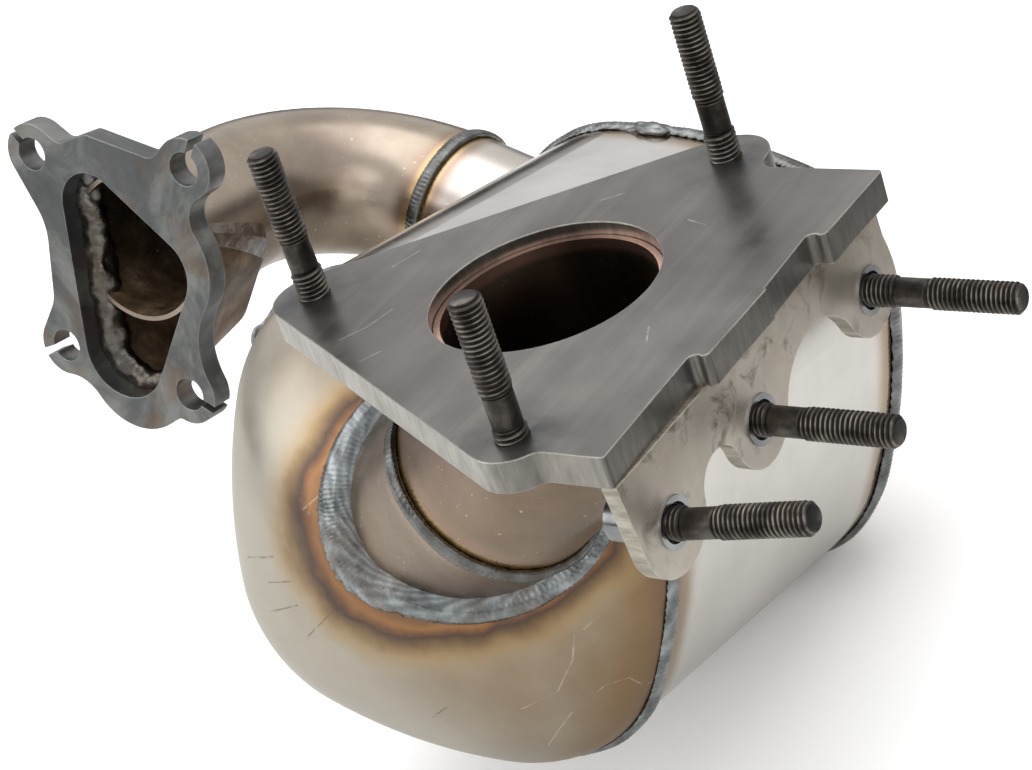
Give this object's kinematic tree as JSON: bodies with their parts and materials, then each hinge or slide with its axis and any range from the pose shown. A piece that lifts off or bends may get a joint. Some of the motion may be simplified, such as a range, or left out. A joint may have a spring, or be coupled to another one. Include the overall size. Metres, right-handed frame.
{
  "type": "catalytic converter",
  "caption": "Rounded-square catalytic converter canister with a turbocharger inlet flange and pipe, an outlet elbow under a studded flange plate, and a stud bracket.",
  "frame": {"origin": "centre of the outlet bore on the flange plate's gasket face", "axes": "+Z leaves the gasket face, +X is the way the side studs point, +Y runs along the bracket towards the inlet end"},
  "size_m": [0.399, 0.3026, 0.2339],
  "materials": {
    "plate_steel": "hot-rolled steel, mill grey with scratches",
    "bracket_steel": "torch-cut sheet steel with oily stains",
    "stainless": "heat-tinted stainless sheet",
    "pipe_stainless": "heat-tinted stainless tube",
    "weld_steel": "rippled weld bead",
    "stud_steel": "dark oiled steel",
    "zinc": "bright zinc plate",
    "flange_steel": "blue-grey cut steel",
    "mat_fibre": "fibre mat",
    "ceramic": "fired ceramic honeycomb"
  },
  "bodies": {
    "root": {"bracket_sleeve_1": "zinc", "bracket_sleeve_2": "zinc", "bracket_sleeve_3": "zinc", "bracket_weld": "weld_steel", "canister_shell": "stainless", "catalyst_brick": "ceramic", "flange_weld": "weld_steel", "front_end_cap": "stainless", "front_seam_weld": "weld_steel", "inlet_elbow": "pipe_stainless", "inlet_joint_weld": "weld_steel", "inlet_neck": "pipe_stainless", "inlet_port_weld": "weld_steel", "inner_weld": "weld_steel", "outlet_elbow": "pipe_stainless", "outlet_joint_weld": "weld_steel", "outlet_plate": "plate_steel", "outlet_port_weld": "weld_steel", "outlet_stub": "pipe_stainless", "plate_stud_1": "stud_steel", "plate_stud_2": "stud_steel", "plate_stud_3": "stud_steel", "plate_weld": "weld_steel", "rear_end_cap": "stainless", "rear_seam_weld": "weld_steel", "scoop_weld": "weld_steel", "side_bracket": "bracket_steel", "side_stud_1": "stud_steel", "side_stud_2": "stud_steel", "side_stud_3": "stud_steel", "support_mat": "mat_fibre", "transition_scoop": "pipe_stainless", "turbo_flange": "flange_steel"}
  },
  "joints": []
}
